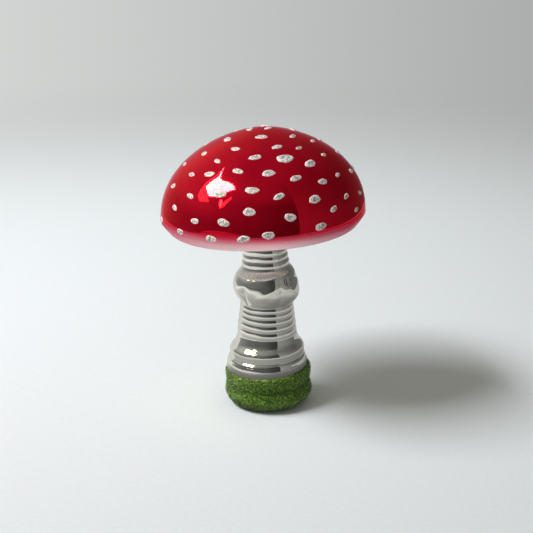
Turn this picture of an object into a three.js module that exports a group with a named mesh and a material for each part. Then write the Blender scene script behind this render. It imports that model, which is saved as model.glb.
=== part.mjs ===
// A blown glass mushroom ornament: a mirrored red cap with raised glitter dabs, on a ringed silver stem
// whose foot is coated in green flock. Millimetres, +Z up, front towards -Y. The origin is on the stem's
// axis, at the surface that the ornament stands on. A turn is an angle round the axis, 0 at the front,
// positive towards +X.
import * as THREE from "three";

const { clamp, degToRad, lerp } = THREE.MathUtils;

// Cap, in heights along the stem's axis
const CAP_RADIUS = 60;
const CAP_RIM_HEIGHT = 118.7;
const CAP_DOME = 50.4;
const CAP_CROWN_REACH = 17;
const CAP_CROWN_SHIFT = 1.6;
const CAP_FLANK_REACH = 36.5;
const CAP_LIP_RADIUS = 54.6;
const CAP_LIP_DROP = 6.8;
const CAP_LIP_REACH = 1;
const CAP_RIM_EDGE = 0.5;
const CAP_HOLLOW = 5;
const CAP_WALL = 1.4;

// Stem
const STEM_WALL = 1.5;
const NECK_TOP_RADIUS = 12.2;
const NECK_BASE_RADIUS = 13.2;
const NECK_BASE_HEIGHT = 88;
const NECK_IN_CAP = 8;
const BULGE_RADIUS = 19.7;
const BULGE_HEIGHT = 73.6;
const WAIST_RADIUS = 15.5;
const WAIST_HEIGHT = 63.9;
const STEP_RADIUS = 17.5;
const DRUM_RADIUS = 23.1;
const DRUM_HEIGHT = 13.7;
const NOTCH_RADIUS = 22.3;
const FOOT_RING_HEIGHT = 7.4;
const FOOT_RADIUS = 24.3;
const FOOT_HEIGHT = 24.8;
const HEEL_RADIUS = 22.7;
const HEEL_HEIGHT = 13;
const HEEL_ROUND = 5;

// Small rings blown into the neck and the flare, each swelling by a share of its own height; those of the flare
// are taller towards the foot
const FLARE_RINGS = 5;
const FLARE_RING_GROWTH = 1.05;
const NECK_RING_HEIGHT = 3.6;
const RING_SWELL = 0.09;

// Lobes of the bulge, parted by creases
const LOBES = 5;
const LOBE_CREASE = 1.5;
const LOBE_FIRST_TURN = 27;

// The stem bends to one side along the bulge, so the neck and the cap lean
const LEAN_DEGREES = 2.8;
const BEND_START = 58;
const BEND_END = 84;

// Flock on the foot: the thickness of its coat at the heel, waist and upper roll, more on the side that it
// climbs
const SOLE_THICKNESS = 1.8;
const MOSS_HEEL_COAT = 3.2;
const MOSS_HEEL_ROUND = 8.9;
const MOSS_WAIST_COAT = 2.2;
const MOSS_WAIST_HEIGHT = 13.8;
const MOSS_ROLL_COAT = 2.4;
const MOSS_ROLL_HEIGHT = 18.2;
const MOSS_TOP_HEIGHT = 22.8;
const MOSS_TOP_RISE = 1.7;
const MOSS_UNEVENNESS = 0.35;

// Glue bead and clearance between glued pieces
const GLUE_BEAD = 2;
const SEAT_GAP = 0.25;

// Glitter dabs
const DAB_THICKNESS = 0.7;
const DAB_EDGE_SHARE = 0.35;
const DAB_TOP_SHARE = 0.6;
const DAB_TALL_SHARE = 0.56;
const DAB_SIDES = 8;
const DAB_TURN_STEP = 2.4;

// Places of the dabs, ring by ring from the crown: percent of the way to the rim, turn in degrees, width
const DAB_RINGS = [
  [[8, -89, 7], [5, 70, 6.5], [13, 165, 7]],
  [[18, 0, 7], [25, -67, 7], [24, 61, 6], [24, 115, 6.5], [25, -140, 6.5]],
  [[33, -32, 6], [32, 19, 6.5], [37, 43, 5], [36, 77, 5], [43, -68, 5.5], [41, -6, 7]],
  [[44, 21, 10.4], [46, -41, 5], [39, 150, 6.5], [41, -107, 6]],
  [[49, 62, 4.6], [53, -18, 6.5], [52, 40, 8], [57, -82, 5], [55, 5, 7.4], [57, -40, 6.8], [60, -57, 5.5]],
  [[61, 23, 7], [55, 92, 6], [56, -150, 7]],
  [[67, -6, 8.2], [66, 57, 4.8], [67, 41, 6.2], [70, -26, 8], [72, -71, 5.5], [69, 78, 6], [72, 10, 6.4]],
  [[74, -47, 5.6], [69, 130, 7], [72, -118, 6.5], [67, 172, 7]],
  [[77, 31, 7.6], [81, -7, 7.2], [81, 55, 5], [84, -58, 5.4], [84, 73, 5], [89, -39, 6], [88, -21, 7.6]],
  [[86, 15, 7.4], [86, 42, 5.6], [92, 62, 4.6], [96, 3, 7.2], [95, 32, 7], [98, -50, 5.6], [99, -28, 7]],
  [[98, -10, 7], [97, -76, 5.5], [90, 110, 7]],
];

// Fineness
const CAP_SEGMENTS = 48;
const STEM_SEGMENTS = 36;
const CAP_OUTSIDE_STEPS = [15, 4, 6];
const CAP_INSIDE_STEPS = [8, 2, 3];
const CURVE_STEPS = 8;
const RING_STEPS = 3;
const LINING_STEPS = 3;

const LEAN = degToRad(LEAN_DEGREES);
const CAP_UNDERSIDE_HEIGHT = CAP_RIM_HEIGHT - CAP_LIP_DROP + CAP_HOLLOW;
const NECK_END_HEIGHT = CAP_UNDERSIDE_HEIGHT + NECK_IN_CAP;
const FOOT_UNDERSIDE = SOLE_THICKNESS + SEAT_GAP;
const NOTCH_HEIGHT = FOOT_HEIGHT + FOOT_RING_HEIGHT;
const STEP_HEIGHT = NOTCH_HEIGHT + DRUM_HEIGHT;

const redMirror = new THREE.MeshStandardMaterial({ color: 0xb4001c, metalness: 0.9, roughness: 0.08 });
const silverMirror = new THREE.MeshStandardMaterial({ color: 0xd8d8d4, metalness: 1, roughness: 0.07 });
const greenFlock = new THREE.MeshStandardMaterial({ color: 0x466f16, metalness: 0, roughness: 1 });
const whiteGlitter = new THREE.MeshStandardMaterial({ color: 0xe2dcd8, metalness: 0.1, roughness: 0.6 });
const clearGlue = new THREE.MeshStandardMaterial({ color: 0xe9e6dc, metalness: 0, roughness: 0.35 });

function curve(...points) {
  return new THREE.CubicBezierCurve(...points.map(([radius, height]) => new THREE.Vector2(radius, height)));
}

// The radius of a curve whose height runs steadily from one end to the other, found by halving.
function radiusAt(line, height) {
  const falling = line.v0.y > line.v3.y;
  let low = 0;
  let high = 1;
  while (high - low > 1e-7) {
    const middle = (low + high) / 2;
    const above = line.getPoint(middle).y > height;
    if (above === falling) low = middle;
    else high = middle;
  }
  return line.getPoint(low).x;
}

// A closed body round the Z axis. Its profile of [radius, height] points may change with the turn, starts and
// ends on the axis or closes on itself, and goes up on the outside.
function revolve(profileAt, segments) {
  const vertices = [];
  const faces = [];
  const count = profileAt(0).length;
  for (let i = 0; i < segments; i++) {
    const turn = (2 * Math.PI * i) / segments;
    for (const [radius, height] of profileAt(turn)) {
      vertices.push(radius * Math.sin(turn), -radius * Math.cos(turn), height);
    }
    const here = i * count;
    const next = ((i + 1) % segments) * count;
    for (let j = 0; j + 1 < count; j++) {
      faces.push(here + j, next + j, next + j + 1);
      faces.push(here + j, next + j + 1, here + j + 1);
    }
  }
  return solid(vertices, faces);
}

function solid(vertices, faces) {
  const geometry = new THREE.BufferGeometry();
  geometry.setAttribute("position", new THREE.Float32BufferAttribute(vertices, 3));
  geometry.setIndex(faces);
  geometry.computeVertexNormals();
  return geometry;
}

function pairs(points) {
  return points.map((point) => [point.x, point.y]);
}

// Cap: the outside runs from the crown to the rim and round the lip, then the underside hollows to the hole.
const capLipHeight = CAP_RIM_HEIGHT - CAP_LIP_DROP;
const capHoleRadius = NECK_TOP_RADIUS + SEAT_GAP;
const capDome = curve(
  [0, CAP_RIM_HEIGHT + CAP_DOME],
  [CAP_CROWN_REACH, CAP_RIM_HEIGHT + CAP_DOME],
  [CAP_RADIUS, CAP_RIM_HEIGHT + CAP_FLANK_REACH],
  [CAP_RADIUS, CAP_RIM_HEIGHT],
);
const capLip = curve(
  [CAP_RADIUS, CAP_RIM_HEIGHT],
  [CAP_RADIUS, CAP_RIM_HEIGHT - CAP_RIM_EDGE],
  [CAP_LIP_RADIUS + CAP_LIP_REACH, capLipHeight],
  [CAP_LIP_RADIUS, capLipHeight],
);
const capUnderside = curve(
  [CAP_LIP_RADIUS, capLipHeight],
  [(2 * CAP_LIP_RADIUS + capHoleRadius) / 3, capLipHeight],
  [(CAP_LIP_RADIUS + 2 * capHoleRadius) / 3, CAP_UNDERSIDE_HEIGHT],
  [capHoleRadius, CAP_UNDERSIDE_HEIGHT],
);

// A point that lies a given depth inside the outline that passes through it.
function inset(line, share, depth) {
  const point = line.getPointAt(share);
  const along = line.getTangentAt(share);
  return [point.x + along.y * depth, point.y - along.x * depth];
}

function evenShares(steps) {
  return Array.from({ length: steps + 1 }, (_, i) => i / steps);
}

// The dome, lip and underside at a depth in the glass, with a number of steps for each.
function capLayer(depth, steps) {
  return [capDome, capLip, capUnderside].flatMap((line, i) => {
    const shares = i === 0 ? evenShares(steps[i]) : evenShares(steps[i]).slice(1);
    return shares.map((share) => inset(line, share, depth));
  });
}

function capProfile() {
  const outer = capLayer(0, CAP_OUTSIDE_STEPS);
  const inner = capLayer(CAP_WALL, CAP_INSIDE_STEPS);
  outer[0][0] = 0;
  inner[0][0] = 0;
  inner.at(-1)[0] = capHoleRadius;
  return [...inner, ...outer.reverse()];
}

// Stem: smooth outlines of the neck, the two halves of the bulge, the flare, the drum that steps out below it,
// the ring over the foot and the covered foot.
const neckLine = curve(
  [NECK_TOP_RADIUS, CAP_UNDERSIDE_HEIGHT],
  [NECK_TOP_RADIUS, lerp(CAP_UNDERSIDE_HEIGHT, NECK_BASE_HEIGHT, 1 / 3)],
  [lerp(NECK_TOP_RADIUS, NECK_BASE_RADIUS, 1 / 2), lerp(CAP_UNDERSIDE_HEIGHT, NECK_BASE_HEIGHT, 2 / 3)],
  [NECK_BASE_RADIUS, NECK_BASE_HEIGHT],
);
const shoulderLine = curve(
  [NECK_BASE_RADIUS, NECK_BASE_HEIGHT],
  [lerp(NECK_BASE_RADIUS, BULGE_RADIUS, 1 / 8), lerp(NECK_BASE_HEIGHT, BULGE_HEIGHT, 1 / 5)],
  [BULGE_RADIUS, lerp(NECK_BASE_HEIGHT, BULGE_HEIGHT, 1 / 2)],
  [BULGE_RADIUS, BULGE_HEIGHT],
);
const bellyLine = curve(
  [BULGE_RADIUS, BULGE_HEIGHT],
  [BULGE_RADIUS, lerp(BULGE_HEIGHT, WAIST_HEIGHT, 1 / 2)],
  [lerp(WAIST_RADIUS, BULGE_RADIUS, 1 / 5), lerp(WAIST_HEIGHT, BULGE_HEIGHT, 1 / 5)],
  [WAIST_RADIUS, WAIST_HEIGHT],
);
const flareLine = curve(
  [WAIST_RADIUS, WAIST_HEIGHT],
  [lerp(WAIST_RADIUS, STEP_RADIUS, 2 / 5), lerp(WAIST_HEIGHT, STEP_HEIGHT, 1 / 3)],
  [lerp(WAIST_RADIUS, STEP_RADIUS, 4 / 5), lerp(WAIST_HEIGHT, STEP_HEIGHT, 2 / 3)],
  [STEP_RADIUS, STEP_HEIGHT],
);
const drumLine = curve(
  [STEP_RADIUS, STEP_HEIGHT],
  [lerp(STEP_RADIUS, DRUM_RADIUS, 1 / 5), lerp(STEP_HEIGHT, NOTCH_HEIGHT, 3 / 8)],
  [DRUM_RADIUS, lerp(STEP_HEIGHT, NOTCH_HEIGHT, 1 / 2)],
  [NOTCH_RADIUS, NOTCH_HEIGHT],
);
const footRingLine = curve(
  [NOTCH_RADIUS, NOTCH_HEIGHT],
  [lerp(NOTCH_RADIUS, FOOT_RADIUS, 0.55), lerp(NOTCH_HEIGHT, FOOT_HEIGHT, 0.22)],
  [FOOT_RADIUS, lerp(NOTCH_HEIGHT, FOOT_HEIGHT, 0.57)],
  [FOOT_RADIUS, FOOT_HEIGHT],
);
const footLine = curve(
  [FOOT_RADIUS, FOOT_HEIGHT],
  [FOOT_RADIUS, lerp(FOOT_HEIGHT, HEEL_HEIGHT, 1 / 3)],
  [HEEL_RADIUS, lerp(FOOT_HEIGHT, HEEL_HEIGHT, 2 / 3)],
  [HEEL_RADIUS, HEEL_HEIGHT],
);

// Heights of the grooves between rings, from the lowest up: the rings of the flare shrink on the way up, and
// those of the neck are alike and stop below the glue.
function flareGrooves() {
  const ringHeights = Array.from({ length: FLARE_RINGS }, (_, i) => FLARE_RING_GROWTH ** -i);
  const sum = ringHeights.reduce((total, height) => total + height, 0);
  const grooves = [STEP_HEIGHT];
  for (const height of ringHeights) {
    grooves.push(grooves.at(-1) + (height / sum) * (WAIST_HEIGHT - STEP_HEIGHT));
  }
  return grooves;
}

function neckGrooves() {
  const grooves = [];
  const end = CAP_UNDERSIDE_HEIGHT - SEAT_GAP - GLUE_BEAD;
  for (let height = NECK_BASE_HEIGHT; height < end; height += NECK_RING_HEIGHT) grooves.push(height);
  return grooves;
}

const ringGrooves = { flare: flareGrooves(), neck: neckGrooves() };

// How far a ring stands out at a height: an even swell from one groove to the next.
function ringAt(grooves, height) {
  const upper = grooves.findIndex((groove) => groove > height);
  if (upper < 1) return 0;
  const ringHeight = grooves[upper] - grooves[upper - 1];
  const share = (height - grooves[upper - 1]) / ringHeight;
  return 4 * RING_SWELL * ringHeight * share * (1 - share);
}

function plainStemRadius(height) {
  if (height >= CAP_UNDERSIDE_HEIGHT) return NECK_TOP_RADIUS;
  if (height >= NECK_BASE_HEIGHT) return radiusAt(neckLine, height);
  if (height >= BULGE_HEIGHT) return radiusAt(shoulderLine, height);
  if (height >= WAIST_HEIGHT) return radiusAt(bellyLine, height);
  if (height >= STEP_HEIGHT) return radiusAt(flareLine, height);
  if (height >= NOTCH_HEIGHT) return radiusAt(drumLine, height);
  if (height >= FOOT_HEIGHT) return radiusAt(footRingLine, height);
  if (height >= HEEL_HEIGHT) return radiusAt(footLine, height);
  return HEEL_RADIUS;
}

function stemRadius(height) {
  return plainStemRadius(height) + ringAt(ringGrooves.flare, height) + ringAt(ringGrooves.neck, height);
}

// The depth of the creases between the lobes, deepest at the middle of the bulge.
function creaseAt(turn, height) {
  const half = height > BULGE_HEIGHT ? NECK_BASE_HEIGHT - BULGE_HEIGHT : BULGE_HEIGHT - WAIST_HEIGHT;
  const away = Math.abs(height - BULGE_HEIGHT) / half;
  if (away >= 1) return 0;
  const first = degToRad(LOBE_FIRST_TURN);
  const valley = 1 - Math.abs(Math.sin((LOBES * (turn - first)) / 2));
  return LOBE_CREASE * valley * valley * (1 - away * away);
}

function spaced(low, high, steps) {
  return Array.from({ length: steps }, (_, i) => low + ((high - low) * i) / steps);
}

function stepsOver(grooves) {
  return grooves.slice(1).flatMap((groove, i) => spaced(grooves[i], groove, RING_STEPS));
}

function quarterRound(radius, height, round) {
  const arc = new THREE.EllipseCurve(radius - round, height + round, round, round, -Math.PI / 2, 0);
  return pairs(arc.getPoints(CURVE_STEPS / 2));
}

const outerStemHeights = [
  ...spaced(HEEL_HEIGHT, FOOT_HEIGHT, CURVE_STEPS / 2),
  ...spaced(FOOT_HEIGHT, NOTCH_HEIGHT, RING_STEPS),
  ...spaced(NOTCH_HEIGHT, STEP_HEIGHT, CURVE_STEPS),
  ...stepsOver(ringGrooves.flare),
  ...spaced(WAIST_HEIGHT, NECK_BASE_HEIGHT, CURVE_STEPS),
  ...stepsOver(ringGrooves.neck),
  ringGrooves.neck.at(-1),
  NECK_END_HEIGHT,
];
const innerStemHeights = [
  ...spaced(HEEL_HEIGHT, NOTCH_HEIGHT, LINING_STEPS),
  ...spaced(NOTCH_HEIGHT, STEP_HEIGHT, LINING_STEPS),
  ...spaced(STEP_HEIGHT, WAIST_HEIGHT, LINING_STEPS),
  ...spaced(WAIST_HEIGHT, NECK_BASE_HEIGHT, CURVE_STEPS),
  NECK_BASE_HEIGHT,
  NECK_END_HEIGHT,
].reverse();

function stemProfile(turn) {
  const skin = outerStemHeights.map((height) => [stemRadius(height) - creaseAt(turn, height), height]);
  const lining = innerStemHeights.map((height) => {
    return [plainStemRadius(height) - creaseAt(turn, height) - STEM_WALL, height];
  });
  const floor = FOOT_UNDERSIDE + STEM_WALL;
  const heel = quarterRound(HEEL_RADIUS, FOOT_UNDERSIDE, HEEL_ROUND);
  const insideHeel = quarterRound(HEEL_RADIUS - STEM_WALL, floor, HEEL_ROUND - STEM_WALL).reverse();
  return [[0, FOOT_UNDERSIDE], ...heel, ...skin, ...lining, ...insideHeel, [0, floor]];
}

// The place and tilt of the stem's bent axis at a height.
function axisFrame(height) {
  const bendRadius = (BEND_END - BEND_START) / LEAN;
  const along = clamp(height - BEND_START, 0, BEND_END - BEND_START);
  const angle = along / bendRadius;
  const straight = height - BEND_START - along;
  return {
    x: -bendRadius * (1 - Math.cos(angle)) - straight * Math.sin(angle),
    z: BEND_START + bendRadius * Math.sin(angle) + straight * Math.cos(angle),
    angle,
  };
}

function reshape(geometry, moved) {
  const position = geometry.getAttribute("position");
  for (let i = 0; i < position.count; i++) {
    position.setXYZ(i, ...moved(position.getX(i), position.getY(i), position.getZ(i)));
  }
  geometry.computeVertexNormals();
  return geometry;
}

function bent(x, y, height) {
  const axis = axisFrame(height);
  return [axis.x + x * Math.cos(axis.angle), y, axis.z + x * Math.sin(axis.angle)];
}

// The dome was blown a little askew: the higher a point is above the rim, the further it lies towards +X.
function askew(x, y, height) {
  const rise = Math.max(0, height - CAP_RIM_HEIGHT) / CAP_DOME;
  return [x + CAP_CROWN_SHIFT * rise, y, height];
}

// Moss: a coat over the foot, its thickness drawn against height, with a round heel, two soft rolls and a top
// edge that thins out to the glass and rises to one side.
function mossProfile(turn) {
  const top = MOSS_TOP_HEIGHT + MOSS_TOP_RISE * Math.sin(turn);
  const thicker = 1 + MOSS_UNEVENNESS * Math.sin(turn);
  const lower = curve(
    [MOSS_HEEL_COAT, MOSS_HEEL_ROUND],
    [MOSS_HEEL_COAT, lerp(MOSS_HEEL_ROUND, MOSS_WAIST_HEIGHT, 1 / 2)],
    [MOSS_WAIST_COAT, lerp(MOSS_HEEL_ROUND, MOSS_WAIST_HEIGHT, 2 / 3)],
    [MOSS_WAIST_COAT, MOSS_WAIST_HEIGHT],
  );
  const upper = curve(
    [MOSS_WAIST_COAT, MOSS_WAIST_HEIGHT],
    [MOSS_WAIST_COAT, lerp(MOSS_WAIST_HEIGHT, MOSS_ROLL_HEIGHT, 1 / 3)],
    [MOSS_ROLL_COAT, lerp(MOSS_WAIST_HEIGHT, MOSS_ROLL_HEIGHT, 2 / 3)],
    [MOSS_ROLL_COAT, MOSS_ROLL_HEIGHT],
  );
  const lip = curve(
    [MOSS_ROLL_COAT, MOSS_ROLL_HEIGHT],
    [MOSS_ROLL_COAT, lerp(MOSS_ROLL_HEIGHT, top, 2 / 3)],
    [MOSS_ROLL_COAT / 2, top],
    [0, top],
  );
  const coats = [
    ...pairs(lower.getPoints(3)),
    ...pairs(upper.getPoints(3)).slice(1),
    ...pairs(lip.getPoints(CURVE_STEPS / 2)).slice(1),
  ];
  const footRadius = HEEL_RADIUS + SEAT_GAP;
  const heel = quarterRound(footRadius + MOSS_HEEL_COAT * thicker, 0, MOSS_HEEL_ROUND).slice(0, -1);
  const outside = coats.map(([coat, height]) => [stemRadius(height) + SEAT_GAP + coat * thicker, height]);
  const insideHeights = [...spaced(top, HEEL_HEIGHT, CURVE_STEPS).slice(1), HEEL_HEIGHT];
  const inside = insideHeights.map((height) => [stemRadius(height) + SEAT_GAP, height]);
  const insideHeel = quarterRound(footRadius, SOLE_THICKNESS, HEEL_ROUND + SEAT_GAP).reverse();
  return [[0, 0], ...heel, ...outside, ...inside, ...insideHeel, [0, SOLE_THICKNESS]];
}

// Glue: a fillet in the corner between the neck and the cap's underside.
function glueProfile() {
  const inner = NECK_TOP_RADIUS + SEAT_GAP;
  const top = CAP_UNDERSIDE_HEIGHT - SEAT_GAP;
  const [foot, reach] = [top - GLUE_BEAD, inner + GLUE_BEAD];
  const face = new THREE.EllipseCurve(reach, foot, GLUE_BEAD, GLUE_BEAD, Math.PI, Math.PI / 2, true);
  return [...pairs(face.getPoints(CURVE_STEPS / 2)), [inner, top], [inner, foot]];
}

// A dab: a low mound laid on the dome, its long side across the cap.
function dabGeometry(share, turn, width, spin) {
  const domeLength = capDome.getLength();
  const outline = new THREE.CurvePath();
  outline.curves.push(capDome, capLip);
  const whole = domeLength + capLip.getLength();
  const middleRadius = outline.getPointAt((share * domeLength) / whole).x;
  const place = (across, along, lift) => {
    const reach = (share * domeLength + along) / whole;
    const [radius, height] = inset(outline, reach, -lift);
    const angle = turn + across / middleRadius;
    return [radius * Math.sin(angle), -radius * Math.cos(angle), height];
  };
  const vertices = [];
  const faces = [];
  const layers = [
    [1, SEAT_GAP],
    [1, SEAT_GAP + DAB_EDGE_SHARE * DAB_THICKNESS],
    [DAB_TOP_SHARE, SEAT_GAP + DAB_THICKNESS],
  ];
  vertices.push(...place(0, 0, SEAT_GAP));
  for (const [size, lift] of layers) {
    for (let i = 0; i < DAB_SIDES; i++) {
      const angle = spin + (2 * Math.PI * i) / DAB_SIDES;
      const across = (size * width * Math.cos(angle)) / 2;
      const along = (size * width * DAB_TALL_SHARE * Math.sin(angle)) / 2;
      vertices.push(...place(across, along, lift));
    }
  }
  vertices.push(...place(0, 0, SEAT_GAP + DAB_THICKNESS));
  const last = 1 + layers.length * DAB_SIDES;
  for (let i = 0; i < DAB_SIDES; i++) {
    const next = (i + 1) % DAB_SIDES;
    faces.push(0, 1 + i, 1 + next);
    for (let ring = 1; ring + DAB_SIDES < last; ring += DAB_SIDES) {
      faces.push(ring + i, ring + DAB_SIDES + i, ring + DAB_SIDES + next);
      faces.push(ring + i, ring + DAB_SIDES + next, ring + next);
    }
    faces.push(last, last - DAB_SIDES + next, last - DAB_SIDES + i);
  }
  return solid(vertices, faces);
}

function piece(name, geometry, material) {
  const mesh = new THREE.Mesh(geometry, material);
  mesh.name = name;
  return mesh;
}

const mushroom = new THREE.Group();
mushroom.add(piece("stem_shell", reshape(revolve(stemProfile, STEM_SEGMENTS), bent), silverMirror));
mushroom.add(piece("moss_base", revolve(mossProfile, STEM_SEGMENTS), greenFlock));

// The cap, its glue and its dabs are modelled upright on the axis, and lean with the end of the neck.
const capGroup = new THREE.Group();
const neckEnd = axisFrame(CAP_UNDERSIDE_HEIGHT);
capGroup.rotation.y = -neckEnd.angle;
capGroup.position.set(neckEnd.x, 0, neckEnd.z);
const upright = new THREE.Group();
upright.position.z = -CAP_UNDERSIDE_HEIGHT;
upright.add(piece("cap_shell", reshape(revolve(capProfile, CAP_SEGMENTS), askew), redMirror));
upright.add(piece("joint_glue", revolve(glueProfile, STEM_SEGMENTS), clearGlue));
DAB_RINGS.flat().forEach(([percent, degrees, width], i) => {
  const name = "dab_" + String(i + 1).padStart(2, "0");
  const geometry = dabGeometry(percent / 100, degToRad(degrees), width, i * DAB_TURN_STEP);
  upright.add(piece(name, reshape(geometry, askew), whiteGlitter));
});
capGroup.add(upright);
mushroom.add(capGroup);

export default mushroom;
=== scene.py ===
"""The looks of the glass mushroom ornament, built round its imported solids: mirrored glass, flock and glitter.

Sizes are in millimetres, as in the solids, and become metres when a mesh is made. Those of the camera and the
studio are in metres. A turn is an angle round the stem's axis, 0 at the front and positive towards +X.
"""

import math

import bmesh
import bpy
import numpy as np
from mathutils import Matrix, Vector, noise


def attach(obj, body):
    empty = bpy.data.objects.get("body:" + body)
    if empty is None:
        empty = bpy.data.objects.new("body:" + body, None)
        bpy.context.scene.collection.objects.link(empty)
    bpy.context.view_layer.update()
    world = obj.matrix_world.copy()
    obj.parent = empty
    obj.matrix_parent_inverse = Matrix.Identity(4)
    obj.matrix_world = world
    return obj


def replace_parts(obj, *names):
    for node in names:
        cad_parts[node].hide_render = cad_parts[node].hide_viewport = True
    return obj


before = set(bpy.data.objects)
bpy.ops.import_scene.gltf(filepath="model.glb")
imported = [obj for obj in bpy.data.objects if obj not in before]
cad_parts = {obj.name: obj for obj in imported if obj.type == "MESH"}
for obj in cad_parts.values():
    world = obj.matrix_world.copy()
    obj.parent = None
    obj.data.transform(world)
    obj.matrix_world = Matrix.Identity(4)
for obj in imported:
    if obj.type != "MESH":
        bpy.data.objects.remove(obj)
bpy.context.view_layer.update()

MM = 0.001

# Cap
CAP_RADIUS = 60
CAP_RIM_HEIGHT = 118.7
CAP_DOME = 50.4
CAP_CROWN_REACH = 17
CAP_CROWN_SHIFT = 1.6
CAP_FLANK_REACH = 36.5
CAP_LIP_RADIUS = 54.6
CAP_LIP_DROP = 6.8
CAP_LIP_REACH = 1
CAP_RIM_EDGE = 0.5
CAP_HOLLOW = 5
CAP_WALL = 1.4
CAP_WAVE = 0.05
CAP_PLEATS = 60
CAP_PLEAT = 0.25
FOLD_DRIFT = 2
FOLD_DRIFT_WAVES = 5
FOLD_RISE = 5
FADE_DROP = 0.105
FADE_TILT = 0.195
BARE_UNDERSIDE = 0.6
BARE_RISE = 6

# Stem
STEM_WALL = 1.5
NECK_TOP_RADIUS = 12.2
NECK_BASE_RADIUS = 13.2
NECK_BASE_HEIGHT = 88
NECK_IN_CAP = 8
BULGE_RADIUS = 19.7
BULGE_HEIGHT = 73.6
WAIST_RADIUS = 15.5
WAIST_HEIGHT = 63.9
STEP_RADIUS = 17.5
DRUM_RADIUS = 23.1
DRUM_HEIGHT = 13.4
DRUM_TILT = 1.0
DRUM_STEEPENING = 0.35
DRUM_STEEP_REACH = 8.04
SHOULDER_STEEPENING = 0.16
SHOULDER_STEEP_HEIGHT = 84
SHOULDER_STEEP_REACH = 7
NOTCH_RADIUS = 22.3
FOOT_RING_HEIGHT = 6.4
FOOT_RING_STEEPENING = 0.1
FOOT_RING_STEEP_DROP = 0.64
FOOT_RING_STEEP_REACH = 3.2
NECK_FLARE = 0.8
NECK_FLARE_REACH = 12
NECK_FLARE_REACH_DOWN = 15
FOOT_RADIUS = 24.3
FOOT_HEIGHT = 24.8
HEEL_RADIUS = 22.7
HEEL_HEIGHT = 13
HEEL_ROUND = 5
FLARE_RINGS = 5
FLARE_RING_GROWTH = 1.1
NECK_RING_HEIGHT = 3.6
RING_SWELL = 0.09
RING_UNEVENNESS = 0.18
RING_DRIFT = 0.42
RING_DRIFT_FADE_LOW = 4
RING_DRIFT_FADE_HIGH = 6
SHOULDER_PLEATS = 52
SHOULDER_PLEAT = 0.12
SHOULDER_HEIGHT = 85.5
SHOULDER_REACH = 4
PLEAT_DRIFT = 1.3
PLEAT_DRIFT_WAVES = 3
PLEAT_FADE = 0.3
PLEAT_FADE_WAVES = 7
BULGE_DENT = 0.07
BULGE_TWIST = 0.15
BULGE_TWIST_TURN = 0.2
DULL_BAND_REACH = 4.7
DULL_BAND_FADE = 1.4
LOBES = 5
LOBE_CREASE = 1.5
LOBE_FIRST_TURN = math.radians(27)
LOBE_FADE = 6
LOBE_TOP_SHARE = 0.2

# Slow waves of blown glass and dents of the bulge, as (strength, waves round, mm of height for each radian)
WAVES = [(0.4, 2, 9), (0.3, 3, -6), (0.2, 5, 4), (0.15, 1, 13)]
DENTS = [(1, 6, 2.1), (0.8, 11, -1.3), (1, 4, -3)]
DENT_PHASES = (0, 2, 0)

# Lean of the neck and the cap
LEAN = math.radians(2.8)
BEND_START = 58
BEND_END = 84

# Flock
SOLE_THICKNESS = 1.8
MOSS_HEEL_COAT = 2.95
MOSS_HEEL_ROUND = 8.9
MOSS_HEEL_REACH = 13.5
MOSS_HEEL_REACH_SWAY = 3.5
MOSS_WAIST_COAT = 2.0
MOSS_WAIST_HEIGHT = 13.8
MOSS_ROLL_COAT = 1.75
MOSS_ROLL_HEIGHT = 18.2
MOSS_TOP_HEIGHT = 22.8
MOSS_TOP_RISE = 1.7
MOSS_UNEVENNESS = 0.35
MOSS_GRAIN = 0.35
MOSS_GRAIN_RISE = 2
CLUMP_SCALE = 1.35
FINE_CLUMP_SCALE = 2.8
FINE_CLUMP_SHARE = 0.65
MOSS_TINT = 0.37
MOSS_INSIDE_TINT = 0.35
CLUMP_TINT = 0.95
GROOVE_SHADE = 0.35
MOSS_GROOVE_REACH = 1.3
HEEL_SHADE = 0.5
MOSS_HEEL_SHADE_REACH = 7
FIBRES = 16000
FIBRE_FIRST_ROW = 6
FIBRE_LENGTH = 1.1
FIBRE_LENGTH_SHARES = (0.5, 1.15)
FIBRE_WIDTH = 0.36
FIBRE_ROOT = 0.2
FIBRE_LEAN = 0.45
FIBRE_CLEARANCE = 0.1
FIBRE_TINTS = (-0.7, 0.95)
FIBRE_ROOT_SHADE = 0.6

# Glue and dabs
GLUE_BEAD = 2
GLUE_UNEVENNESS = 0.12
SEAT_GAP = 0.25
DAB_HEIGHT = 0.65
DAB_SINK = 0.05
DAB_TALL_SHARE = 0.54
DAB_TALL_SPREAD = (0.9, 1.1)
DAB_LOBES = [(0.05, 2), (0.04, 3), (0.025, 5)]  # share of the size, number round
DAB_LOBE_PHASES = (0, 6.3)
DAB_RAGGEDNESS = 0.03
DAB_SPIN = 0.16
DAB_SPACING = 9.5
DAB_MIDDLE_TONE = 0.7
DAB_RIM_TONE = 0.45
DAB_BASE_TONE = 0.3
GRAIN_SPACING = 0.7
GRAIN_CROWDING = 1.25
GRAIN_FIELD = 0.55
GRAIN_RADIUS = 0.434
GRAIN_HEIGHT = 0.2
GRAIN_SIZES = (0.4, 1)
GRAIN_AT_RIM = 0.15
FRONT_TURN = math.radians(80)
BEHIND_SHIFT = 1.5
BEHIND_TURN_SHIFT = 0.08
BEHIND_SEED = 100

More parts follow.
